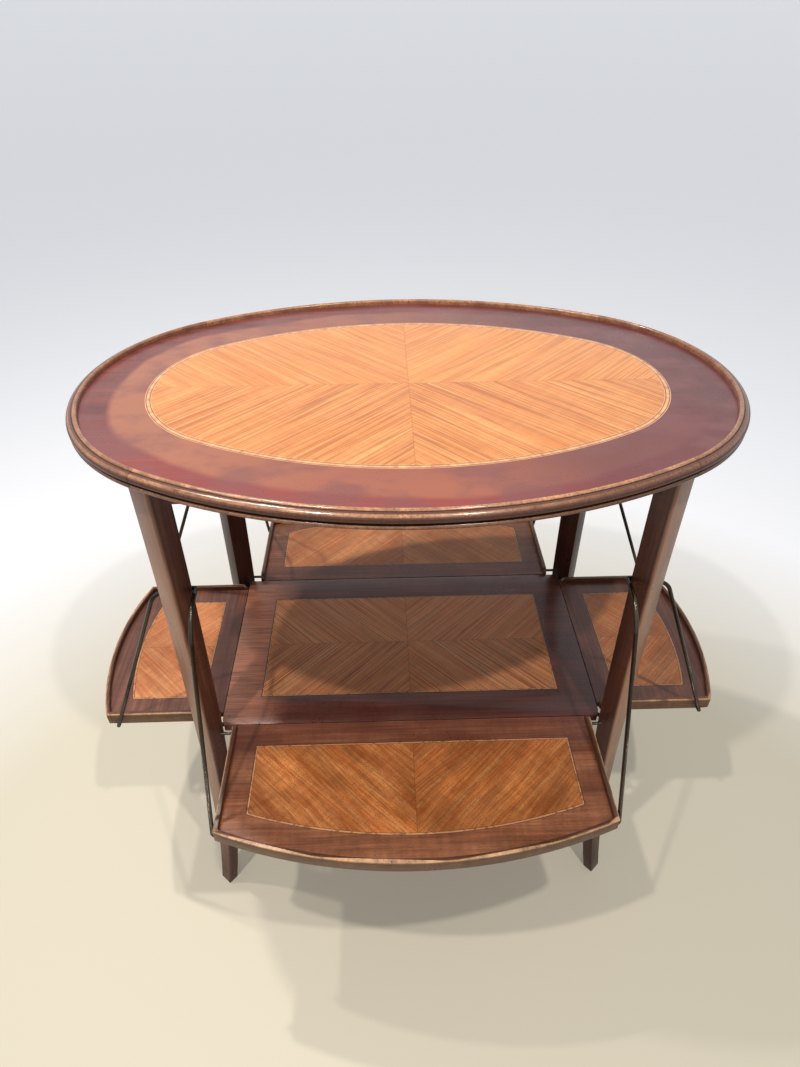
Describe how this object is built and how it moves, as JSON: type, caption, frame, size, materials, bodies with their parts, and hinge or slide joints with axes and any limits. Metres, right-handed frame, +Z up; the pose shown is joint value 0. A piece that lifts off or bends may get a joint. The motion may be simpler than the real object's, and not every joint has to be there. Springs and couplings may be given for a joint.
{
  "type": "folding tea table",
  "caption": "Oval tray-top tea table on splayed legs, with a lower shelf whose hinged tray flaps are held by wire stays.",
  "frame": {"origin": "floor, under the centre of the oval top", "axes": "+X along the oval's length to the viewer's right, +Y to the back, +Z up; -Y is the side the picture was taken from"},
  "size_m": [0.836, 0.66, 0.747],
  "materials": {
    "top_mahogany": "french polished mahogany",
    "top_satinwood": "french polished satinwood veneer",
    "lower_satinwood": "french polished satinwood veneer, darker",
    "stringing": "boxwood stringing",
    "moulding_mahogany": "polished mahogany moulding, worn at its edges",
    "rail_mahogany": "unpolished mahogany",
    "leg_mahogany": "polished dark mahogany",
    "shelf_mahogany": "polished mahogany",
    "rim_mahogany": "polished mahogany, worn at its edges",
    "blackened_wire": "blackened steel wire",
    "black_dowel": "blackened steel",
    "steel_pin": "bright steel",
    "steel_screw": "steel"
  },
  "bodies": {
    "table": {"top_panel": "top_mahogany", "top_field": "top_satinwood", "top_string": "stringing", "top_mould_front": "moulding_mahogany", "top_mould_back": "moulding_mahogany", "top_mould_left": "moulding_mahogany", "top_mould_right": "moulding_mahogany", "rail_front": "rail_mahogany", "rail_back": "rail_mahogany", "rail_left": "rail_mahogany", "rail_right": "rail_mahogany", "rail_screws": "steel_screw", "leg_front_left": "leg_mahogany", "leg_front_right": "leg_mahogany", "leg_back_left": "leg_mahogany", "leg_back_right": "leg_mahogany", "shelf_panel": "shelf_mahogany", "shelf_field": "lower_satinwood", "shelf_string": "stringing", "shelf_dowels": "black_dowel", "hinge_pins_front": "steel_pin", "hinge_pins_back": "steel_pin", "hinge_pins_left": "steel_pin", "hinge_pins_right": "steel_pin"},
    "flap_front": {"flap_front_panel": "shelf_mahogany", "flap_front_field": "lower_satinwood", "flap_front_string": "stringing", "flap_front_lip": "rim_mahogany", "flap_front_rim_left": "rim_mahogany", "flap_front_rim_right": "rim_mahogany"},
    "flap_back": {"flap_back_panel": "shelf_mahogany", "flap_back_field": "lower_satinwood", "flap_back_string": "stringing", "flap_back_lip": "rim_mahogany", "flap_back_rim_left": "rim_mahogany", "flap_back_rim_right": "rim_mahogany"},
    "flap_left": {"flap_left_panel": "shelf_mahogany", "flap_left_field": "lower_satinwood", "flap_left_string": "stringing", "flap_left_lip": "rim_mahogany", "flap_left_rim_front": "rim_mahogany", "flap_left_rim_back": "rim_mahogany"},
    "flap_right": {"flap_right_panel": "shelf_mahogany", "flap_right_field": "lower_satinwood", "flap_right_string": "stringing", "flap_right_lip": "rim_mahogany", "flap_right_rim_front": "rim_mahogany", "flap_right_rim_back": "rim_mahogany"},
    "stay_front_left": {"stay_front_left": "blackened_wire"},
    "stay_front_right": {"stay_front_right": "blackened_wire"},
    "stay_back_left": {"stay_back_left": "blackened_wire"},
    "stay_back_right": {"stay_back_right": "blackened_wire"},
    "stay_left_front": {"stay_left_front": "blackened_wire"},
    "stay_left_back": {"stay_left_back": "blackened_wire"},
    "stay_right_front": {"stay_right_front": "blackened_wire"},
    "stay_right_back": {"stay_right_back": "blackened_wire"}
  },
  "joints": [
    {"name": "flap_front_fold", "type": "hinge", "parent": "table", "child": "flap_front", "pos_m": [0, -0.15, 0.331], "axis": [-1, 0, 0], "range_deg": [0, 90]},
    {"name": "flap_back_fold", "type": "hinge", "parent": "table", "child": "flap_back", "pos_m": [0, 0.15, 0.331], "axis": [1, 0, 0], "range_deg": [0, 90]},
    {"name": "flap_left_fold", "type": "hinge", "parent": "table", "child": "flap_left", "pos_m": [-0.2577, 0, 0.331], "axis": [0, 1, 0], "range_deg": [0, 90]},
    {"name": "flap_right_fold", "type": "hinge", "parent": "table", "child": "flap_right", "pos_m": [0.2577, 0, 0.331], "axis": [0, -1, 0], "range_deg": [0, 90]},
    {"name": "stay_front_left_swing", "type": "hinge", "parent": "table", "child": "stay_front_left", "pos_m": [-0.2335, -0.14, 0.574], "axis": [1, 0, 0], "range_deg": [0, 22]},
    {"name": "stay_front_right_swing", "type": "hinge", "parent": "table", "child": "stay_front_right", "pos_m": [0.2335, -0.14, 0.574], "axis": [1, 0, 0], "range_deg": [0, 22]},
    {"name": "stay_back_left_swing", "type": "hinge", "parent": "table", "child": "stay_back_left", "pos_m": [-0.2335, 0.14, 0.574], "axis": [-1, 0, 0], "range_deg": [0, 22]},
    {"name": "stay_back_right_swing", "type": "hinge", "parent": "table", "child": "stay_back_right", "pos_m": [0.2335, 0.14, 0.574], "axis": [-1, 0, 0], "range_deg": [0, 22]},
    {"name": "stay_left_front_swing", "type": "hinge", "parent": "table", "child": "stay_left_front", "pos_m": [-0.266, -0.1275, 0.557], "axis": [0, -1, 0], "range_deg": [0, 22]},
    {"name": "stay_left_back_swing", "type": "hinge", "parent": "table", "child": "stay_left_back", "pos_m": [-0.266, 0.1275, 0.557], "axis": [0, -1, 0], "range_deg": [0, 22]},
    {"name": "stay_right_front_swing", "type": "hinge", "parent": "table", "child": "stay_right_front", "pos_m": [0.266, -0.1275, 0.557], "axis": [0, 1, 0], "range_deg": [0, 22]},
    {"name": "stay_right_back_swing", "type": "hinge", "parent": "table", "child": "stay_right_back", "pos_m": [0.266, 0.1275, 0.557], "axis": [0, 1, 0], "range_deg": [0, 22]}
  ],
  "couplings": [
    {"joint": "stay_front_left_swing", "follows": "flap_front_fold", "ratio": 0.24443},
    {"joint": "stay_front_right_swing", "follows": "flap_front_fold", "ratio": 0.24443},
    {"joint": "stay_back_left_swing", "follows": "flap_back_fold", "ratio": 0.24443},
    {"joint": "stay_back_right_swing", "follows": "flap_back_fold", "ratio": 0.24443},
    {"joint": "stay_left_front_swing", "follows": "flap_left_fold", "ratio": 0.24443},
    {"joint": "stay_left_back_swing", "follows": "flap_left_fold", "ratio": 0.24443},
    {"joint": "stay_right_front_swing", "follows": "flap_right_fold", "ratio": 0.24443},
    {"joint": "stay_right_back_swing", "follows": "flap_right_fold", "ratio": 0.24443}
  ]
}
